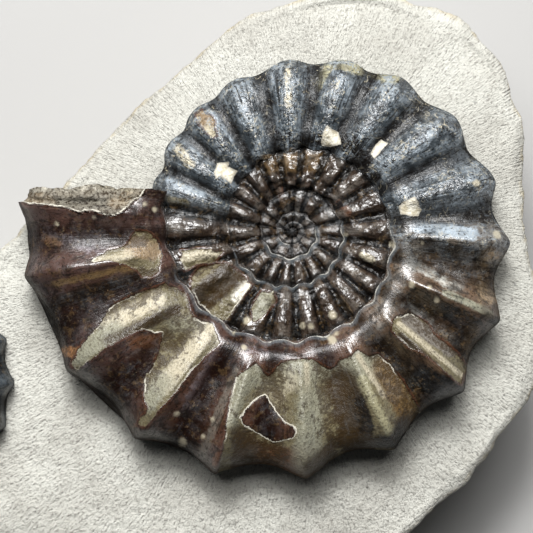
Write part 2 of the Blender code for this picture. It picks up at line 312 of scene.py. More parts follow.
class CoilMesh:
    """The fine mesh of one ammonite: points, faces, and for each point its wind and section angle."""

    def __init__(self, coil):
        self.coil = coil
        # Each row is x, y, z, wind and section angle.
        self.rows = []
        self.faces = []
        self.count = 0
        self.last = len(coil.flank_rows) * coil.columns
        start = APERTURE_WIND - 360 * len(coil.flank_rows)
        self.column_winds = np.linspace(start, APERTURE_WIND, self.last + 1)
        self.build_flanks()
        self.build_venter()
        self.close_ends()
        rows = np.concatenate(self.rows)
        self.points = rows[:, :3]
        self.winds = rows[:, 3]
        self.angles = rows[:, 4]

    def add(self, points, winds, angles):
        start = self.count
        points = np.atleast_2d(points)
        self.rows.append(np.column_stack([points, np.atleast_1d(winds), np.atleast_1d(angles)]))
        self.count += len(self.rows[-1])
        return list(range(start, self.count))

    def add_column(self, wind, angles):
        winds = np.full(len(angles), wind)
        radius, height = shell_point(winds, angles)
        return self.add(coil_points(self.coil, winds, radius, height), winds, angles)

    def strips(self, columns):
        """Faces between neighbouring columns; a column may have twice the rows of the one before it."""
        for here, there in zip(columns, columns[1:]):
            step = (len(there) - 1) // (len(here) - 1)
            for k in range(len(here) - 1):
                across = there[k * step:(k + 1) * step + 1]
                self.faces.append((here[k], *across, here[k + 1]))

    def build_flanks(self):
        coil = self.coil
        seam_angle = np.degrees(np.arccos(seam_cosine(self.column_winds) ** (SECTION_POWER / 2)))
        outer = junction_angle(self.column_winds)
        self.flank = []
        for i, wind in enumerate(self.column_winds):
            rows = coil.flank_rows[min(i // coil.columns, len(coil.flank_rows) - 1)]
            angles = seam_angle[i] + (outer[i] - seam_angle[i]) * np.arange(1, rows + 1) / rows
            if i >= coil.columns:
                column = [self.flank[i - coil.columns][-1]]
            else:
                start = coil_points(coil, wind, seam_radius(np.array(wind)), np.array(0))
                column = self.add(start, wind, seam_angle[i])
            self.flank.append(column + self.add_column(wind, angles))
        self.strips(self.flank)

    def build_venter(self):
        coil = self.coil
        depth = (coil.mid_height - CONTACT_LEVEL) / coil.size
        self.venter = []
        for i in range(self.last - coil.columns, self.last + 1):
            wind = self.column_winds[i]
            start = float(junction_angle(wind))
            end = float(contact_angle(wind, depth))
            angles = start + (end - start) * np.arange(1, coil.venter_rows + 1) / coil.venter_rows
            column = [self.flank[i][-1]] + self.add_column(wind, angles)
            foot = self.rows[-1][-1, :3].copy()
            foot[2] = coil.mid_height - coil.foot
            self.venter.append(column + self.add(foot, wind, end))
        self.strips(self.venter)
        self.feet = [column[-1] for column in self.venter]
        self.faces.append(tuple(self.feet))

    def close_ends(self):
        """A rough broken face across the last whorl, and the first chamber in the middle of the coil."""
        coil = self.coil
        points = np.concatenate(self.rows)[:, :3]
        ring = self.flank[-1][:-1] + self.venter[-1] + self.venter[0][::-1][:-1]
        outer = points[ring]
        middle = outer.mean(axis=0)
        turn = math.radians(coil.turn)
        sideways = np.array((math.sin(turn), math.cos(turn)))
        for share in BROKEN_FACE_RINGS:
            inner = middle + (outer - middle) * share
            lumps = fractal_noise(inner, length=2.5 * coil.size, octaves=3, seed=coil.seed)
            inner[:, :2] += (BROKEN_FACE_LUMPS * lumps * coil.size)[:, None] * sideways
            same = np.ones(len(ring))
            new_ring = self.add(inner, APERTURE_WIND * same, BROKEN_FACE_ANGLE * same)
            self.faces += [(ring[j], ring[j - 1], new_ring[j - 1], new_ring[j]) for j in range(len(ring))]
            ring = new_ring
        self.faces.append(tuple(ring))
        hole = [column[0] for column in self.flank[:coil.columns]] + self.flank[0][::-1][:-1]
        tip = points[hole].mean(axis=0)
        tip[2] = points[hole[0]][2] + section_sizes(self.column_winds[0])[2] * coil.size
        top = self.add(tip, self.column_winds[0], 90)[0]
        self.faces += [(a, b, top) for a, b in zip(hole, hole[1:] + hole[:1])]


def on_photo(marks):
    """Bearing and radius on the photograph to x and y in its pixels, from the middle of the large coil."""
    marks = np.asarray(marks, float)
    angle = np.radians(marks[..., 0])
    return np.stack([marks[..., 1] * np.cos(angle), marks[..., 1] * np.sin(angle)], axis=-1)


def seen_from_camera(points):
    """Where the camera sees points, in photograph pixels right of and below the middle of the large coil."""
    scale = (CAMERA_SPOT[2] - LARGE.mid_height) / PIXEL / (CAMERA_SPOT[2] - points[:, 2])
    x = (points[:, 0] - CAMERA_SPOT[0]) * scale
    y = (CAMERA_SPOT[1] - points[:, 1]) * scale
    return np.stack([x, y], axis=1) + PHOTO_MIDDLE - COIL_MIDDLE_IN_PHOTO


def distance_to_line(places, start, end):
    along = end - start
    share = np.clip(((places - start) @ along) / max(along @ along, 1e-9), 0, 1)
    return np.linalg.norm(places - start - share[:, None] * along, axis=1)


def outline_distance(places, corners):
    """Signed distance to a closed outline, negative inside."""
    distance = np.full(len(places), 1e3)
    inside = np.zeros(len(places), bool)
    for start, end in zip(corners, np.roll(corners, -1, 0)):
        distance = np.minimum(distance, distance_to_line(places, start, end))
        crosses = (start[1] > places[:, 1]) != (end[1] > places[:, 1])
        run = (end[0] - start[0]) / (end[1] - start[1] if end[1] != start[1] else 1)
        inside ^= crosses & (places[:, 0] < start[0] + run * (places[:, 1] - start[1]))
    return np.where(inside, -distance, distance)


def distance_to_marks(places, outlines):
    """Signed distance to the nearest of some outlines on the large shell."""
    return np.min([outline_distance(places, on_photo(outline)) for outline in outlines], axis=0)


def distance_to_spots(places, spots):
    distances = [np.linalg.norm(places - on_photo(spot[:2]), axis=1) - spot[2] for spot in spots]
    return np.min(distances, axis=0)


def seen(red, green, blue):
    """A colour as seen, from 0 to 255, in the shader's linear numbers."""
    share = np.array((red, green, blue)) / 255
    return np.where(share <= 0.04045, share / 12.92, ((share + 0.055) / 1.055) ** 2.4)


# Near-black: grime and pits, and also painted shade in hollows, creases, seams and under rib tips.
SHADE_AND_GRIME_BLACK = seen(16, 13, 11)
UMBER = seen(54, 41, 31)
RED_BROWN = seen(70, 44, 31)
DEEP_RED = seen(50, 26, 17)
DARK_BROWN = seen(42, 28, 18)
PURPLE_BROWN = seen(68, 47, 40)
GREY_BROWN = seen(94, 86, 77)
BRONZE = seen(86, 67, 50)
SLATE = seen(56, 63, 68)
STEEL = seen(98, 104, 108)
PALE_STEEL = seen(122, 130, 136)
SILVER = seen(172, 170, 162)
RUST = seen(88, 56, 36)
ORANGE = seen(146, 104, 66)
GOLD_BROWN = seen(104, 82, 52)
TAN = seen(134, 114, 88)
OLIVE = seen(106, 98, 74)
DARK_OLIVE = seen(54, 42, 26)
GREY_GREEN = seen(136, 134, 116)
GREY = seen(112, 106, 98)
RUBBLE = seen(186, 179, 162)
EDGE_BROWN = seen(80, 50, 34)
CREAM = seen(182, 173, 150)
IVORY = seen(226, 221, 206)
YELLOW = seen(150, 145, 116)
PALE_BLUE = seen(150, 160, 168)
LILAC_SHEEN = seen(134, 124, 128)
STONE = seen(203, 202, 193)
STONE_CLOUD = seen(185, 183, 174)
STONE_STREAK = seen(134, 130, 122)
STONE_SPECK = seen(96, 96, 94)
STONE_STAIN = seen(190, 172, 130)
FLOOR_COLOUR = seen(168, 167, 165)

# Colour of the shell along the coil: wind angle and colour.
SHELL_ALONG = (
    (-884, UMBER), (180, UMBER), (200, SLATE), (345, SLATE), (364, GREY_BROWN),
    (378, BRONZE), (410, BRONZE), (435, RED_BROWN), (480, RED_BROWN), (510, PURPLE_BROWN),
    (556, PURPLE_BROWN),
)
# Colour of the underside of the large shell, round the coil: bearing and colour.
UNDERSIDE = (
    (0, TAN), (62, TAN), (72, DARK_BROWN), (84, RED_BROWN), (104, UMBER), (190, UMBER), (196, SLATE),
    (340, SLATE), (360, TAN),
)

# Outlines on the large shell, where it has flaked off and the infill shows.
SHELL_LOSSES = (
    ((34.5, 145), (36, 140), (40, 134), (42, 135), (45, 142), (45, 165), (43.2, 175), (42.6, 200),
     (42.4, 228), (38, 222), (36.5, 205), (36, 192), (36.3, 180), (34.7, 165)),
    ((55, 150), (59, 146), (61, 136), (64, 137), (71, 139), (73, 142), (76, 141), (78, 137), (81, 130),
     (85, 128), (90, 129), (95, 133), (98, 142), (99.5, 147), (102, 143), (105.5, 136), (108, 145),
     (111, 156), (110.5, 175), (109, 200), (108, 220), (107, 262), (100, 268), (80, 268), (60, 262),
     (55, 232), (54, 200), (53.5, 170)),
    ((123, 133), (126, 127), (131, 122), (135, 126), (139, 131), (143, 128), (150, 124), (153, 128),
     (157.5, 137), (158, 160), (158, 180), (157.5, 197), (155, 210), (151, 245), (149, 258), (140, 262),
     (130, 252), (126.5, 245), (127, 225), (126, 200), (126, 175), (125, 155)),
    ((163, 140), (167, 135), (171, 132), (175, 134), (178, 139), (180, 147), (180, 157), (176, 165),
     (174.5, 170), (174, 185), (172, 200), (171, 215), (171, 185), (169, 172), (166, 160), (163, 157),
     (162, 148)),
    ((194, 153), (190, 163), (186, 172), (184.5, 182), (186, 205), (185, 215), (186, 235), (186, 270),
     (188, 300), (200, 300), (206, 200), (204, 150)),
    ((163.4, 73.6), (169.6, 94), (169.9, 112), (165, 116), (160, 114), (160.4, 98), (157.6, 83.8)),
    ((155.6, 75.2), (146.9, 67.8), (138, 66), (127.5, 68.1), (126.7, 91), (126.4, 112), (134, 117),
     (142, 119), (150, 117), (156, 111), (158.5, 99)),
    ((119, 85.7), (117, 67.3), (108, 63), (103.4, 71), (109.3, 92), (113.5, 99)),
    ((230.3, 153), (233, 150.5), (234.7, 141.4), (234.9, 135.2), (233, 130.5), (231.7, 122.7),
     (229.8, 122.8), (229, 129.5), (229.3, 137.5), (229, 146.5)),
)
# Pieces of shell left within those losses.
SHELL_LEFT = (
    ((99.5, 166), (103, 175), (105.5, 193), (104, 200), (95, 212), (90, 207), (89, 198), (92, 192),
     (95, 184)),
    ((142, 165), (144, 172), (147, 180), (148, 215), (147, 262), (138, 266), (129, 258), (129, 230),
     (132, 222), (135, 210), (136, 195), (137.5, 182), (139, 175)),
)
CALCITE_PATCHES = (
    ((217, 77), (223, 80), (228, 81), (225, 91), (228, 94), (222, 101), (217, 99), (214, 93), (218, 90)),
    ((289, 90), (294, 92), (299, 100), (295, 109), (291, 109), (288, 112), (287, 100)),
    ((315, 109), (318.5, 109), (317.5, 130), (314, 128)),
    ((347, 109), (351, 109), (353, 120), (353, 126), (350.5, 131), (344.5, 127), (345, 115)),
)
# Pale spots: bearing, radius and size.
PALE_SPOTS = (
    (24, 131, 3.5), (5.5, 130, 1.8), (22.5, 148, 2.6), (25.5, 160, 3), (70, 116, 5), (67, 112, 2.5),
    (64, 93, 4.3), (79, 97, 3.2), (84, 95, 3.2), (117, 100, 4.4), (4, 53, 2.6), (8, 100, 3.5),
    (113, 204, 3), (113.5, 224, 2.8), (122.5, 217, 3.3), (117.5, 238, 4.2), (112.5, 126, 2.8),
    (120, 117, 2), (181.7, 235.6, 2.8), (184, 199, 2.2), (190.4, 150, 2.8), (189, 140, 3),
    (345.5, 190, 4.2), (1, 205, 4.2),
)

# Soft brush strokes, each colour's together: bearing and radius of each end, half width, softness, strength.
# Some of them are painted highlights and some painted shade, as marked.
SHELL_STROKES = (
    # Painted highlights: pale blue sheens on the lit sides of the slate-coloured ribs.
    (PALE_BLUE, (257.5, 130, 257.5, 152, 4, 6, 0.7), (248.5, 132, 248.5, 154, 3, 5, 0.8), (237.5, 112, 236,
     140, 4, 6, 0.7), (276, 130, 277, 158, 5, 7, 0.6), (202, 100, 203, 130, 5, 6, 0.7), (294, 128, 292, 156,
     4, 6, 0.5), (327, 130, 325, 172, 5, 7, 0.5), (337, 122, 337, 172, 5, 7, 0.6), (352, 134, 352, 190, 5,
     7, 0.6)),
    # Painted shade: black in rib hollows, under crests and tips, along the shaded inner walls and seams, and
    # in the middle of the coil.
    (SHADE_AND_GRIME_BLACK, (27.5, 140, 27.2, 204, 8, 6, 0.7), (6.2, 118, 7.5, 196, 7, 6, 0.75), (44, 232, 43, 240, 5, 5,
     0.8), (299, 107, 324, 98, 9, 7, 0.85), (300, 128, 302, 112, 4, 4, 0.8), (262, 96, 290, 98, 5, 4, 0.7),
     (262, 41, 300, 44, 4, 4, 0.9), (300, 44, 350, 46, 3, 3, 0.7), (250, 21, 300, 21, 3, 3, 0.8), (222, 10,
     222, 28, 4, 6, 0.5)),
    # Painted highlights: lilac sheens on the brown shell.
    (LILAC_SHEEN, (179.8, 246, 173, 189, 5, 7, 0.45), (150, 205, 147, 250, 4, 6, 0.35), (124, 140, 121, 205, 4, 6,
     0.4), (92, 128, 118, 128, 4, 5, 0.45)),
    (RUST, (108, 236, 108, 244, 5, 3, 0.9), (140, 170, 145, 195, 6, 5, 0.8), (330, 54, 341, 58, 4, 3, 0.7),
     (250, 38, 255, 42, 3, 3, 0.6)),
    (CREAM, (213, 122, 216, 142, 4, 4, 0.7), (268.5, 126, 268.3, 162, 3, 4, 0.65), (312, 178, 321, 176, 4,
     5, 0.35), (19, 74, 20, 84, 3.4, 1.5, 0.9)),
    (GOLD_BROWN, (57, 190, 55, 225, 10, 8, 0.6), (248, 72, 290, 74, 10, 4, 0.6)),
    (TAN, (55, 82, 55, 100, 3, 1.5, 0.85), (262, 70, 270, 80, 4, 3, 0.6)),
    (DEEP_RED, (138, 215, 139, 255, 14, 9, 0.8), (98, 185, 98, 205, 10, 5, 0.9)),
    (YELLOW, (280, 148, 283, 182, 4, 5, 0.8), (283, 176, 303, 184, 6, 5, 0.95)),
    (ORANGE, (177, 236, 178, 246, 4, 4, 0.6), (150, 244, 152, 256, 5, 4, 0.6)),
    # Painted highlight: a grey sheen on the umbilical wall.
    (GREY, (10, 122, 50, 128, 10, 9, 0.55)),
    # Painted highlights: silver bands on lit rib flanks.
    (SILVER, (14.5, 120, 19.3, 174, 4, 5, 0.6), (33, 135, 34, 200, 3, 5, 0.4)),
    # Painted highlights: pale blue sheens on lit rib flanks.
    (PALE_BLUE, (357.5, 124, 1, 180, 6, 5, 0.85), (221, 108, 221, 136, 4, 6, 0.7)),
    # The first stroke is the shell's own colour; the second is a painted highlight on a lit rib flank.
    (GREY_BROWN, (8, 172, 18, 178, 8, 6, 0.4), (112, 150, 112, 240, 4, 5, 0.7)),
    (TAN, (8, 203, 18, 205, 9, 8, 0.8), (30, 208, 33, 210, 7, 7, 0.6)),
    # Painted shade by a rib tip and in the middle of the coil.
    (SHADE_AND_GRIME_BLACK, (39.5, 212, 41.5, 226, 7, 6, 0.9), (270, 4, 270, 20, 13, 8, 0.6)),
    (UMBER, (30, 196, 38, 206, 7, 8, 0.7), (4, 218, 5, 228, 4, 5, 0.7)),
    (DEEP_RED, (40, 140, 47, 150, 6, 7, 0.6), (119, 140, 119, 225, 8, 8, 0.8)),
    (DARK_BROWN, (52, 150, 47, 180, 9, 8, 0.8), (163, 160, 163, 246, 7, 6, 0.9)),
    (GREY_GREEN, (22, 165, 22.6, 213, 3.2, 2, 0.9)),
    (DARK_OLIVE, (22, 207, 24, 217, 4, 5, 0.7), (29, 140, 30, 160, 6, 6, 0.8)),
    # Painted shade under the rib tips.
    (SHADE_AND_GRIME_BLACK, (24, 226, 27, 234, 4, 5, 0.8), (51.6, 195, 42.5, 226, 6, 6, 0.95)),
    (BRONZE, (13, 200, 15, 212, 6, 7, 0.7)),
    (DARK_OLIVE, (48, 150, 51, 190, 8, 8, 0.8)),
    # Painted shade under a rib tip.
    (SHADE_AND_GRIME_BLACK, (48, 195, 46, 232, 10, 7, 0.9)),
    (OLIVE, (194.5, 110, 194.5, 127, 3.5, 3, 0.8)),
    # Painted shade in a dark gap between whorls.
    (SHADE_AND_GRIME_BLACK, (191, 82, 191, 128, 6, 4, 0.8)),
    (GOLD_BROWN, (167.5, 165, 167.5, 246, 3, 4, 0.7)),
    (PURPLE_BROWN, (160.5, 150, 160.5, 245, 4, 3, 0.8)),
    (DEEP_RED, (186, 135, 186, 195, 6, 5, 0.6)),
    (GREY, (187.8, 262, 191.1, 187, 5, 3, 0.6)),
)
INFILL_STROKES = (
    # Painted shade under the rib tips.
    (SHADE_AND_GRIME_BLACK, (66, 232, 63.5, 240, 4, 4, 0.8), (79, 217, 66, 232, 5, 7, 0.8)),
    (DARK_BROWN, (102, 218, 88, 228, 5, 7, 0.75), (86, 224, 85, 240, 5, 6, 0.8)),
    (GREY_GREEN, (62, 150, 108, 150, 12, 14, 0.8), (108, 160, 108, 200, 6, 8, 0.8)),
    # The second stroke is a pale line along a rib crest, partly the infill's paler ridge and partly painted
    # highlight.
    (CREAM, (92, 150, 96, 165, 8, 10, 0.6), (84, 133, 85, 180, 2, 2, 0.7), (131, 128, 130, 200, 7, 9, 0.85),
     (153.5, 150, 153, 205, 7, 7, 0.9)),
    (GREY_GREEN, (137, 130, 141, 150, 7, 8, 0.7), (131, 200, 130, 225, 8, 10, 0.8), (151, 205, 150, 250, 8,
     8, 0.9)),
    (DARK_OLIVE, (72, 160, 73, 232, 14, 9, 0.95), (146, 140, 149, 215, 5, 5, 0.8)),
    (GREY, (37.5, 145, 37, 200, 6, 4, 0.9), (190.5, 180, 188.4, 262, 4.5, 3, 0.95)),
    (TAN, (172, 140, 174, 158, 9, 6, 0.8), (231.5, 150, 232.5, 134, 9, 3, 0.95)),
    # The first stroke is a pale crest line, partly the infill's paler ridge and partly painted highlight.
    (CREAM, (41, 140, 40.5, 225, 2.2, 2, 0.75), (172, 165, 171, 200, 4, 4, 0.6), (230.6, 133, 230.6, 122,
     3.5, 3, 0.95)),
    (SHADE_AND_GRIME_BLACK, (69.5, 182, 69.5, 210, 8, 5, 0.85)),
    (RUST, (86, 236, 100, 240, 14, 12, 0.7)),
    # The second stroke is painted shade below a rib crest.
    (DARK_OLIVE, (104, 212, 102, 245, 10, 8, 0.8), (44, 150, 43, 200, 3, 3, 0.8)),
    (YELLOW, (64.8, 165, 64.2, 222, 4.5, 3, 0.7)),
    # A pale crest line, partly the infill's paler ridge and partly painted highlight.
    (CREAM, (62.3, 140, 61, 190, 2, 2, 0.8)),
    (GREY_GREEN, (84, 170, 86, 230, 12, 12, 0.8)),
    (OLIVE, (97, 150, 96, 170, 8, 8, 0.6)),
    (GOLD_BROWN, (56, 165, 58, 225, 10, 8, 0.8)),
    # Painted shade under a rib tip.
    (SHADE_AND_GRIME_BLACK, (60, 224, 63.5, 236, 6, 6, 0.9)),
    (DARK_OLIVE, (81, 226, 85.5, 238, 6, 6, 0.85)),
    (GREY, (192, 160, 190, 260, 30, 10, 0.7)),
    # Painted shade in the hollow behind the raised broken edge.
    (SHADE_AND_GRIME_BLACK, (187, 236, 188.8, 176, 4.2, 3, 0.9)),
    (TAN, (189.5, 180, 193.4, 160, 6, 4, 0.9)),
    (GOLD_BROWN, (187, 272, 188.4, 254, 5, 4, 0.9)),
    # The first ivory stroke and the cream one after it are a painted highlight along the raised broken edge.
    (IVORY, (189.2, 264, 192.9, 196, 2.8, 2, 0.9), (130, 72, 130, 88, 4, 4, 0.8)),
    (CREAM, (192.9, 196, 194.6, 166, 2.4, 2, 0.9)),
    (TAN, (187.2, 268, 187.6, 246, 3, 3, 0.9)),
    (DARK_OLIVE, (145, 75, 143, 115, 13, 8, 0.85)),
    (CREAM, (165, 80, 166, 112, 4, 4, 0.8)),
    (GREY_GREEN, (112, 70, 112, 92, 6, 5, 0.8)),
)


def brushed(places, strokes):
    """The strokes laid softly over each other: a colour and a cover from 0 to 1 for each place."""
    colours = np.zeros((len(places), 3))
    cover = np.zeros(len(places))
    for colour, *lines in strokes:
        for bearing_0, radius_0, bearing_1, radius_1, half_width, softness, strength in lines:
            start, end = on_photo(((bearing_0, radius_0), (bearing_1, radius_1)))
            distance = distance_to_line(places, start, end)
            share = strength * (1 - ramp(distance, half_width - softness / 2, half_width + softness))
            below = cover * (1 - share)
            cover = share + below
            mixed = share[:, None] * colour + below[:, None] * colours
            colours = np.where(cover[:, None] > 1e-6, mixed / np.maximum(cover, 1e-6)[:, None], colour)
    return np.concatenate([colours, cover[:, None]], axis=1)


def colours_along(values, colour_stations):
    """Colours between the listed stations."""
    stations = [station for station, _ in colour_stations]
    tints = np.array([colour for _, colour in colour_stations])
    return np.stack([np.interp(values, stations, tints[:, k]) for k in range(3)], axis=1)


def section_normals(coil, winds, angles):
    """Outward directions of the whorl section, away from its middle line."""
    bearing = np.radians(winds + coil.turn)
    sideways = -np.cos(np.radians(angles))
    up = np.sin(np.radians(angles))
    return np.stack([sideways * np.cos(bearing), -sideways * np.sin(bearing), up], axis=1)


SHELL_THICKNESS = 0.28
# Below this level, hidden in its socket, the shell is left smooth.
LOWEST_RELIEF = CONTACT_LEVEL - 3
# How a point attribute with one, three or four numbers is stored.
ATTRIBUTE_KINDS = {1: ("FLOAT", "value"), 3: ("FLOAT_VECTOR", "vector"), 4: ("FLOAT_COLOR", "color")}


def add_attribute(data, name, *columns):
    """Numbers for each point: a plain number, a vector, or a colour with its cover."""
    values = np.column_stack(columns)
    kind, field = ATTRIBUTE_KINDS[values.shape[1]]
    attribute = data.attributes.new(name, kind, "POINT")
    attribute.data.foreach_set(field, values.astype(np.float32).ravel())


def add_object(name, data):
    added = bpy.data.objects.new(name, data)
    bpy.context.scene.collection.objects.link(added)
    return added


def add_piece(name, points, faces, material, node):
    """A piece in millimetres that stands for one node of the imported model."""
    data = bpy.data.meshes.new(name)
    data.from_pydata((points * MM).tolist(), [], faces)
    data.materials.append(material)
    data.shade_smooth()
    piece = add_object(name, data)
    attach(piece, "root")
    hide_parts(node)
    return piece


# The rough infill beyond the last shell, in photograph pixels from the middle of the large coil: how far it
# reaches right and down, and where, across the photograph, the hollow behind its raised edge begins and ends.
ROUGH_INFILL_REACH = (-130, -8)
HOLLOW_BEGINS = (-268, -258)
HOLLOW_ENDS = (-200, -170)


def broken_end_relief(places, points):
    """Lumps of the infill beyond the last shell: a raised edge along the break and a hollow behind it."""
    behind = places[:, 1] + BROKEN_LIP_OFFSETS[0] / PIXEL
    ridge = 0.5 * (1 - ramp(behind, 4, 9))
    hollow = 1.1 * np.exp(-((behind - 11) / 3.2) ** 2) * band(places[:, 0], HOLLOW_BEGINS, HOLLOW_ENDS)
    return ridge - hollow + 0.5 * fractal_noise(points, length=2.2, octaves=3, seed=91)


def large_shell_marks(points, winds, angles):
    """The marks on the large shell: distances in photograph pixels, negative inside a mark, and colours."""
    places = seen_from_camera(points)
    losses = np.maximum(distance_to_marks(places, SHELL_LOSSES), -distance_to_marks(places, SHELL_LEFT))
    along = colours_along(winds, SHELL_ALONG)
    underside = ramp(angles, 184, 196) * (angles < SHELL_END_ANGLE)
    return SimpleNamespace(
        losses=losses,
        rough_infill=(losses < 0) & (places < ROUGH_INFILL_REACH).all(axis=1),
        near_kept=1 - ramp(distance_to_marks(places, SHELL_LEFT[:1]), 3, 6),
        calcite=distance_to_marks(places, CALCITE_PATCHES),
        spots=distance_to_spots(places, PALE_SPOTS),
        colours=along + underside[:, None] * (colours_along(winds % 360, UNDERSIDE) - along),
        shell_strokes=brushed(places, SHELL_STROKES),
        infill_strokes=brushed(places, INFILL_STROKES),
        relief=broken_end_relief(places, points),
    )


def small_shell_marks(winds):
    """The small shell is slate-coloured like the large one's upper part, and far from any mark."""
    far = np.full(len(winds), 50)
    none = np.zeros(len(winds))
    colours = colours_along(np.clip(winds, 205, 340), SHELL_ALONG)
    no_strokes = np.zeros((len(winds), 4))
    return SimpleNamespace(
        losses=far, rough_infill=none, near_kept=none, calcite=far, spots=far, colours=colours,
        shell_strokes=no_strokes, infill_strokes=no_strokes, relief=none,
    )


def shell_lift(coil, marks, points, winds, inner):
    """How far the surface is raised. It is lowered where shell is lost, it has broad lumps, and the inner
    whorls have fine ones, which are roughest on one crumbled stretch."""
    lost = -SHELL_THICKNESS * (1 - ramp(marks.losses, -1.6, 0.8))
    broad = 0.12 * fractal_noise(points, length=3.2 * coil.size, octaves=2, seed=11 + coil.seed)
    crumbled = 1 + 1.8 * band(winds, (-130, -105), (-60, -30))
    fine = 0.2 * crumbled * fractal_noise(points, length=1.3, octaves=2, seed=23 + coil.seed)
    fine = fine * inner * ramp(winds, -600, -200)
    return (lost + broad * (1 - 0.5 * inner) + fine) * coil.relief + marks.relief * marks.rough_infill


def build_shell(coil, node, material):
    mesh = CoilMesh(coil)
    points, winds, angles = mesh.points, mesh.winds, mesh.angles
    marks = large_shell_marks(points, winds, angles) if coil is LARGE else small_shell_marks(winds)
    inner = 1 - ramp(winds, 170, 210)
    on_shell = (angles < SHELL_END_ANGLE) & (points[:, 2] > LOWEST_RELIEF)
    lift = shell_lift(coil, marks, points, winds, inner) * on_shell * ramp(angles, 30, 40)
    points = points + section_normals(coil, winds, angles) * lift[:, None]
    piece = add_piece(coil.name, points, mesh.faces, material, node)
    data = piece.data
    # Painted shade: the outer flank is darker where the last whorl faces -Y, away from the light.
    turned = np.radians(winds + coil.turn)
    facing_down = ramp(np.sin(turned), -0.1, 0.5) * ramp(winds, 330, 380)
    shade = 1 - 0.5 * facing_down * ramp(angles, 110, 150)
    add_attribute(data, "shell_colour", marks.colours * shade[:, None], np.ones(len(points)))
    add_attribute(data, "shell_strokes", marks.shell_strokes)
    add_attribute(data, "infill_strokes", marks.infill_strokes)
    add_attribute(data, "marks", marks.losses, marks.calcite, marks.spots)
    add_attribute(data, "kept_shell", marks.near_kept)
    radii = np.linalg.norm(points[:, :2] - coil.centre, axis=1)
    add_attribute(data, "grain", np.radians(winds) * 30, radii, points[:, 2])
    # A whorl's own seam is drawn only on the lower side of the coil, as a painted highlight where its wall
    # faces the light, so elsewhere it counts as further away.
    upper_side = 1 - ramp(np.sin(turned + math.radians(15)), -0.2, 0.3)
    own_seam = np.abs(radii / coil.size - seam_radius(winds)) + upper_side + (winds < -620)
    next_seam = np.abs(seam_radius(winds + 360) - radii / coil.size)
    # Pale dust lies on the slate-coloured part, most of all on rib crests and towards the venter.
    rib = rib_profile(winds)
    slate_part = band(winds, (190, 204), (350, 380))
    dust = 0.05 + slate_part * (0.27 + 0.68 * np.maximum(rib ** 2, ramp(angles, 110, 165)))
    add_attribute(data, "seams", own_seam, next_seam, dust)
    add_attribute(data, "zones", inner, rib, np.maximum(angles > SHELL_END_ANGLE, marks.rough_infill))
    return mesh


class Signal:
    """The output of a node; sums and products of signals and numbers make further nodes."""

    def __init__(self, shader, socket):
        self.shader = shader
        self.socket = socket

    def __add__(self, other):
        return self.shader.maths("ADD", self, other)

    def __sub__(self, other):
        return self.shader.maths("SUBTRACT", self, other)

    def __rsub__(self, other):
        return self.shader.maths("SUBTRACT", other, self)

    def __mul__(self, other):
        return self.shader.maths("MULTIPLY", self, other)


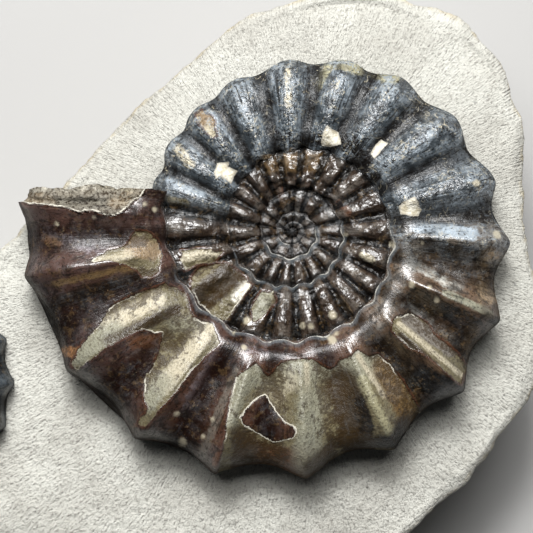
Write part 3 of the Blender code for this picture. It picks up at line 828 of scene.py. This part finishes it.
class Shader:
    """Short ways to lay out the nodes of one material."""

    def __init__(self, name):
        self.material = bpy.data.materials.new(name)
        self.material.use_nodes = True
        self.tree = self.material.node_tree

    def node(self, kind, inputs, output, **settings):
        """The named output of a new node with the given inputs."""
        node = self.tree.nodes.new(kind)
        for name, value in settings.items():
            setattr(node, name, value)
        self.fill(node, inputs)
        return Signal(self, node.outputs[output])

    def fill(self, node, inputs):
        """Links signals to a node's inputs, and puts plain numbers and colours directly on them."""
        for name, value in inputs.items():
            socket = node.inputs[name]
            if isinstance(value, Signal):
                self.tree.links.new(value.socket, socket)
            elif socket.type == "RGBA":
                socket.default_value = (*value, 1)
            else:
                socket.default_value = value

    def surface(self, inputs):
        self.fill(self.tree.nodes["Principled BSDF"], inputs)

    def maths(self, operation, *values):
        return self.node("ShaderNodeMath", dict(enumerate(values)), 0, operation=operation)

    def most(self, first, second):
        return self.maths("MAXIMUM", first, second)

    def mix(self, share, here, there, blend="MIX"):
        inputs = {0: share, 6: here, 7: there}
        return self.node("ShaderNodeMix", inputs, 2, data_type="RGBA", blend_type=blend)

    def layers(self, colour, *layers):
        """Further colours laid over a colour, each with its share."""
        for share, tint in layers:
            colour = self.mix(share, colour, tint)
        return colour

    def rise(self, value, low, high):
        """0 below low and 1 above high, with a smooth change between."""
        inputs = dict(enumerate((value, low, high, 0, 1)))
        return self.node("ShaderNodeMapRange", inputs, 0, interpolation_type="SMOOTHSTEP")

    def fall(self, value, low, high):
        """1 below low and 0 above high, with a smooth change between."""
        return 1 - self.rise(value, low, high)

    def band(self, value, low, high, soft):
        """1 between low and high, and 0 outside."""
        return self.rise(value, low - soft, low) - self.rise(value, high, high + soft)

    def noise(self, length, detail=2, roughness=0.5, place=None, distortion=0):
        """Noise from 0 to 1. The length of its lumps is in millimetres, or in the place's own units."""
        inputs = {"Scale": 1 / length, "Detail": detail, "Roughness": roughness, "Distortion": distortion}
        if place is None:
            place = self.node("ShaderNodeTexCoord", {}, "Object")
            inputs["Scale"] = 1 / MM / length
        return self.node("ShaderNodeTexNoise", {"Vector": place, **inputs}, "Fac")

    def facing_gloss(self):
        """1 where the surface faces the viewer, falling almost to 0 where it turns away."""
        turned = self.node("ShaderNodeLayerWeight", {"Blend": 0.5}, "Facing")
        return 1 - self.rise(turned, 0.35, 0.85) * 0.95

    def attribute(self, name, output="Color"):
        return self.node("ShaderNodeAttribute", {}, output, attribute_name=name)

    def parts(self, name):
        """The three numbers of a vector attribute."""
        first = self.node("ShaderNodeSeparateXYZ", {0: self.attribute(name, "Vector")}, 0)
        return [Signal(self, socket) for socket in first.socket.node.outputs]

    def stretched(self, name, scales):
        """A vector attribute with each of its parts scaled."""
        inputs = {0: self.attribute(name, "Vector"), 1: scales}
        return self.node("ShaderNodeVectorMath", inputs, 0, operation="MULTIPLY")

    def strokes(self, name, colour, patches):
        """The colour under brush strokes, whose edges follow the patches of a noise."""
        cover = self.attribute(name, "Alpha") + (patches - 0.5) * 1.6
        return self.mix(self.rise(cover, 0.2, 0.8), colour, self.attribute(name))

    def bump(self, height, distance, below=None):
        """Relief of up to the given distance in millimetres, on top of the relief below it."""
        inputs = {"Strength": 1, "Distance": distance * MM, "Height": height}
        if below:
            inputs["Normal"] = below
        return self.node("ShaderNodeBump", inputs, "Normal")


def fossil_shell_material(name):
    """Dark polished shell over pale infill, with calcite patches and pale spots."""
    s = Shader(name)
    loss, calcite, spot = s.parts("marks")
    inner, rib, end = s.parts("zones")
    own_seam, next_seam, dust = s.parts("seams")
    kept = s.attribute("kept_shell", "Fac")
    ragged = s.noise(0.9, 6, 0.7)
    wobble = s.noise(1.3, 5, 0.6) - 0.5
    grit = s.noise(0.35, 3, 0.6)
    mottle = s.noise(2.4, 5, 0.65)
    loss = loss + wobble * 6 + (grit - 0.5) * 2.5
    bare = s.fall(loss, -0.4, 0.4)
    gap = s.fall(rib - inner * 0.2, 0, 0.5)

    # The shell is mottled, with painted shade between the ribs and in the crease under the next whorl, golden
    # and grimy in places, and greyer on the inner crests, partly from wear and partly as a painted highlight.
    shell = s.strokes("shell_strokes", s.attribute("shell_colour"), ragged)
    # Random mottling, times painted shade between the ribs.
    shade = (s.rise(mottle, 0.3, 0.7) * 0.7 + 0.65) * (1 - gap * (inner * 0.2 + 0.72))
    shell = s.mix(1, shell, shade, "MULTIPLY")
    brown = s.fall(dust, 0.12, 0.4)
    golden = s.rise(s.noise(1.4, 6, 0.72), 0.53, 0.64) * brown
    grimy = s.rise(s.noise(1.9, 6, 0.7, distortion=0.5), 0.5, 0.62) * 0.65
    flecks = s.rise(grit, 0.6, 0.72) * s.rise(mottle, 0.42, 0.62) * (brown * 0.3 + 0.1)
    # Inner crests greyer: part wear, part painted highlight.
    worn_and_lit_crests = s.rise(rib, 0.55, 0.95) * s.rise(mottle, 0.42, 0.58) * inner
    # Painted shade in the crease under the next whorl.
    crease_shade = inner * s.fall(next_seam, 0.1, 0.7)
    shell = s.layers(
        shell,
        (golden * 0.3, GOLD_BROWN),
        (grimy, SHADE_AND_GRIME_BLACK),
        (flecks, TAN),
        (worn_and_lit_crests * 0.45, GREY),
        (crease_shade * 0.8, SHADE_AND_GRIME_BLACK),
    )

    # The infill is dirty between the ribs, and rubbly at the broken end.
    infill = s.strokes("infill_strokes", OLIVE, ragged)
    dirt = s.rise(ragged + mottle * 0.3 - s.rise(rib, 0.1, 0.6) * 0.16, 0.52, 0.66)
    rubble = s.mix(s.rise(s.noise(0.6, 5, 0.75), 0.42, 0.54), DARK_OLIVE, RUBBLE)
    infill = s.layers(
        infill,
        (dirt * 0.8, DARK_OLIVE),
        (s.rise(grit, 0.5, 0.68) * 0.5, DARK_OLIVE),
        (end * 0.45, rubble),
    )

    # The shell's broken edges have a brown crust along some stretches and an ivory face along the others.
    pale_edged = s.rise(s.noise(6, 1) + kept * 0.3, 0.5, 0.6)
    crust = s.band(loss, 0.1, 1.6, 0.8) * (1 - pale_edged) * s.rise(ragged, 0.36, 0.52)
    edge_line = s.band(loss, 0, 0.7, 0.4)
    face = s.band(loss, -1.3, -0.4, 0.4) * s.most(pale_edged, end)
    face = face * s.most(s.rise(mottle, 0.42, 0.56), s.most(end, kept)) * (end * 0.3 + 0.6)

    # Painted highlight: on the lower side, where their walls face the light, the seams are steel-coloured
    # ribbons with a thin silver line.
    seam_sheen = s.fall(own_seam + wobble * 1.2, 0.35, 0.85)
    seam_glint = s.fall(own_seam + wobble * 0.7, 0.1, 0.26) * s.rise(ragged, 0.3, 0.44)

    # Dust lies as a bloom, as powder and in pale streaks.
    dusty = dust * s.rise(mottle, 0.36, 0.56)
    bloom = s.rise(s.noise(3, 6, 0.7), 0.46, 0.56) * dusty
    powder = s.noise(0.8, 6, 0.75, distortion=0.4)
    powdered = s.rise(powder, 0.51, 0.6) * dusty
    powder_colour = s.mix(s.rise(grit, 0.45, 0.6), PALE_BLUE, CREAM)
    streaks = s.noise(1, 4, 0.65, s.stretched("grain", (2, 0.22, 0.25)))
    pale_streaks = s.fall(streaks, 0.37, 0.43) * dusty

    # Pits are sooty, the dusty part's hollows get painted shade, and fine cracks there are cream.
    holes = s.rise(s.noise(0.42, 3, 0.6), 0.58, 0.62)
    pits = s.most(holes, s.rise(streaks, 0.58, 0.63) * (1 - bare * 0.8))
    pits = pits * (dust * 0.35 + 0.55 - bare * 0.4)
    # Painted shade in the hollows between the dusty part's ribs.
    gap_shade = gap * s.rise(dust, 0.12, 0.3)
    wander = s.maths("ABSOLUTE", s.noise(5, 3, 0.55, distortion=0.3) - 0.5)
    crack = s.fall(wander, 0.002, 0.007) * dust * s.rise(powder, 0.45, 0.55)

    # Calcite patches are chalky with greyer edges.
    calcite = calcite + wobble * 5
    white = s.fall(calcite, -0.4, 0.5)
    chalk = s.mix(s.rise(ragged, 0.42, 0.62), IVORY, CREAM)
    chalk = s.mix(s.rise(calcite, -2.5, -0.5) * 0.5, chalk, GREY)
    spotted = s.fall(spot + wobble * 7, -2.4, 1.2)
    colour = s.layers(
        s.mix(bare, shell, infill),
        (crust * 0.7, EDGE_BROWN),
        (edge_line * 0.5, DARK_BROWN),
        (face, IVORY),
        (seam_sheen * 0.5, STEEL),
        (seam_glint, SILVER),
        (bloom, PALE_STEEL),
        (powdered * 0.85, powder_colour),
        (pale_streaks * 0.8, PALE_BLUE),
        (pits, SHADE_AND_GRIME_BLACK),
        (gap_shade * 0.75, SHADE_AND_GRIME_BLACK),
        (crack * 0.8, CREAM),
        (white, chalk),
        (spotted * 0.75, CREAM),
    )

    # The polish is weaker in hollows, pits and grime, on infill, and at grazing angles.
    matt = s.most(s.most(white, end), bare * 0.35)
    gloss = s.facing_gloss() * (1 - gap * 0.75) * (1 - s.most(pits, grimy) * 0.8) * (1 - bare * 0.4)

    # Growth lines, crumbly inner whorls, dusty roughness, chipped infill, and the step at the shell's edge.
    relief = s.bump(s.noise(1, 2, 0.6, s.stretched("grain", (3, 0.18, 0.3))), 0.05)
    relief = s.bump(s.noise(1.5) * inner, 0.55, relief)
    relief = s.bump(s.noise(0.35, 2, 0.6) * (dusty * 0.8 + 0.3), 0.17, relief)
    relief = s.bump(s.noise(1.8, 4, 0.65) * dust, 0.4, relief)
    relief = s.bump(s.noise(0.7, 4, 0.7) * s.most(end, bare * 0.25), 0.7, relief)
    relief = s.bump(1 - bare, 0.2, relief)
    s.surface({
        "Base Color": colour,
        "Roughness": ragged * 0.4 + 0.2 - inner * 0.16 + matt * 0.3,
        "Specular IOR Level": gloss * 0.25,
        "Coat Weight": (dusty * -0.3 + 0.9 - matt * 0.5) * gloss,
        "Coat Roughness": 0.3,
        "Coat IOR": 1.8,
        "Normal": relief,
        "Coat Normal": relief,
    })
    return s.material


def limestone_material():
    """Off-white limestone, scraped in short strokes that lead away from the large ammonite."""
    s = Shader("pale_limestone_looks")
    strokes = s.noise(1, 3, 0.6, s.attribute("strokes", "Vector"))
    grain = s.noise(0.4, 3, 0.6)
    cloud = s.rise(s.noise(9, 4, 0.6), 0.35, 0.7)
    streak = s.rise(strokes * 0.5 + grain * 0.5, 0.5, 0.62)
    speck = s.rise(s.noise(0.9), 0.7, 0.76)
    stain = s.attribute("stained_edge", "Fac") * s.rise(s.noise(2.2, 4, 0.6), 0.42, 0.6)
    colour = s.layers(
        s.mix(cloud, STONE, STONE_CLOUD),
        (streak * 0.6, STONE_STREAK),
        (speck * 0.5, STONE_SPECK),
        (stain * 0.45, STONE_STAIN),
    )
    s.surface({"Base Color": colour, "Roughness": 0.85, "Normal": s.bump(grain, 0.28, s.bump(strokes, 0.45))})
    return s.material


def rim_radius(angle):
    """Distance from the outline's centre to the block's rim, by a smooth closed curve."""
    rim = np.array(BLOCK_OUTLINE) - OUTLINE_CENTRE
    angles = np.arctan2(rim[:, 1], rim[:, 0]) % math.tau
    order = np.argsort(angles)
    angles = angles[order]
    radii = np.linalg.norm(rim[order], axis=1)
    wrap = 3
    angles = np.concatenate([angles[-wrap:] - math.tau, angles, angles[:wrap] + math.tau])
    radii = np.concatenate([radii[-wrap:], radii, radii[:wrap]])
    return curve_through(angle % math.tau, angles, radii)


def lump(points, length):
    """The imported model's own noise, at points from the outline's centre."""
    return np.array([noise.noise(Vector(point) / length) for point in points])


def top_ring(rim, ways, share):
    """A ring on the block's gently swollen top, at a share of the way to its edge."""
    ring = np.column_stack([ways * ((rim - TOP_EDGE_INSET) * share)[:, None], np.zeros(len(ways))])
    ring[:, 2] = BLOCK_TOP - RIM_DROP * share ** 4 + 0.35 * (lump(ring, 11) - 1)
    return ring


def side_ring(rim, ways, station):
    """A ring on the block's lumpy side, at a station between the top's edge and the foot."""
    stations = range(len(SIDE_HEIGHTS))
    height = float(curve_through(station, stations, SIDE_HEIGHTS))
    inset = float(curve_through(station, stations, SIDE_INSETS))
    ring = np.column_stack([ways * rim[:, None], np.full(len(ways), height)])
    bulge = lump(ring, 14)
    out = rim - inset + 2.2 * (bulge - 0.3) * min(max(inset, 0), 1) * ramp(station, 1, 1.5)
    return np.column_stack([ways * out[:, None], height + bulge * min(height, 1)])


def weathered(points, outward, on_side):
    """The block's points with swells and grit on the top, and crags on the side that die out at the base."""
    off_base = ramp(points[:, 2], 0.3, 2)
    crag = 0.55 * fractal_noise(points, length=5, octaves=3, seed=51)
    crag = crag - 0.5 * np.abs(fractal_noise(points, length=8, octaves=2, seed=61))
    grit = 0.07 * fractal_noise(points, length=1.1, octaves=2, seed=71)
    swell = 0.12 * fractal_noise(points, length=4, octaves=2, seed=81)
    moved = points.copy()
    moved[:, 2] += (grit + swell) * (1 - on_side)
    moved[:, :2] += outward * ((crag + 2 * grit) * on_side * off_base)[:, None]
    return moved


def build_block(material, sockets):
    angles = math.tau * np.arange(BLOCK_COLUMNS) / BLOCK_COLUMNS
    ways = np.stack([np.cos(angles), np.sin(angles)], axis=1)
    rim = rim_radius(angles)
    rings = [top_ring(rim, ways, share) for share in TOP_RINGS]
    rings += [side_ring(rim, ways, station) for station in SIDE_RINGS]
    points = np.concatenate(rings)
    points[:, :2] += OUTLINE_CENTRE
    ring_numbers = np.repeat(np.arange(len(rings)), BLOCK_COLUMNS)
    on_side = ramp(ring_numbers, len(TOP_RINGS) - 2, len(TOP_RINGS) + 6)
    points = weathered(points, np.tile(ways, (len(rings), 1)), on_side)
    for outline, floor in sockets:
        sunk = (outline_distance(points[:, :2], outline) < -SOCKET_MARGIN) & (points[:, 2] > floor)
        points[:, 2] = np.where(sunk, floor, points[:, 2])
    faces = []
    for here in range(0, len(points) - BLOCK_COLUMNS, BLOCK_COLUMNS):
        below = here + BLOCK_COLUMNS
        for j in range(BLOCK_COLUMNS):
            k = (j + 1) % BLOCK_COLUMNS
            faces.append((here + j, below + j, below + k, here + k))
    faces.append(tuple(range(BLOCK_COLUMNS)))
    faces.append(tuple(range(len(points) - BLOCK_COLUMNS, len(points)))[::-1])
    piece = add_piece("limestone_rock", points, faces, material, "limestone_block")
    places = seen_from_camera(points)
    radii = np.linalg.norm(places, axis=1)
    ways_out = places / np.maximum(radii, 1)[:, None]
    add_attribute(piece.data, "strokes", ways_out * 150, radii / 6 + points[:, 2])
    stained = ramp(SIDE_RINGS, 0.5, 0.9) - ramp(SIDE_RINGS, 1.4, 2.6)
    stained = np.concatenate([np.zeros(len(TOP_RINGS)), stained])
    add_attribute(piece.data, "stained_edge", np.repeat(stained, BLOCK_COLUMNS))


def add_floor():
    """A plain pale floor, just under the block."""
    data = bpy.data.meshes.new("floor")
    half = 3
    corners = [(-half, -half, 0), (half, -half, 0), (half, half, 0), (-half, half, 0)]
    data.from_pydata(corners, [], [(0, 1, 2, 3)])
    paint = Shader("floor_paint")
    paint.surface({"Base Color": FLOOR_COLOUR, "Roughness": 0.8})
    data.materials.append(paint.material)
    floor = add_object("floor", data)
    floor.location.z = -0.2 * MM


def add_light(name, way, distance, size, power):
    """A soft rectangle of light that faces the large shell. The way is its bearing and height in degrees; the
    distance and the two sizes are in metres, and the power is in watts."""
    bearing, height = np.radians(way)
    level = math.cos(height)
    out = Vector((math.cos(bearing) * level, math.sin(bearing) * level, math.sin(height)))
    lamp = bpy.data.lights.new(name, "AREA")
    lamp.shape = "RECTANGLE"
    lamp.size, lamp.size_y = size
    lamp.energy = power
    light = add_object(name, lamp)
    aim = Vector((*LARGE.centre, LARGE.mid_height)) * MM
    light.location = aim + out * distance
    light.rotation_euler = out.to_track_quat("Z", "Y").to_euler()


def add_world(tint, strength):
    world = bpy.data.worlds.new("studio")
    world.use_nodes = True
    background = world.node_tree.nodes["Background"]
    background.inputs["Color"].default_value = (*tint, 1)
    background.inputs["Strength"].default_value = strength
    bpy.context.scene.world = world


def add_camera():
    data = bpy.data.cameras.new("camera")
    data.sensor_width = 36
    frame_width = PHOTO_WIDTH * PIXEL
    data.lens = data.sensor_width * (CAMERA_SPOT[2] - LARGE.mid_height) / frame_width
    camera = add_object("camera", data)
    camera.location = Vector(CAMERA_SPOT) * MM
    bpy.context.scene.camera = camera


SHELL_LOOKS = fossil_shell_material("fossil_shell_looks")
large_mesh = build_shell(LARGE, "ammonite", SHELL_LOOKS)
small_mesh = build_shell(SMALL, "small_ammonite", SHELL_LOOKS)
feet = [(mesh.points[mesh.feet][:, :2], mesh.coil.socket_floor) for mesh in (large_mesh, small_mesh)]
build_block(limestone_material(), feet)
add_floor()
add_world((0.9, 0.95, 1), 0.03)
add_light("key", (97, 58), 0.48, (0.44, 0.32), 3.5)
add_light("key_core", (97, 56), 0.47, (0.13, 0.1), 2.1)
add_camera()
bpy.context.scene.view_settings.view_transform = "Standard"
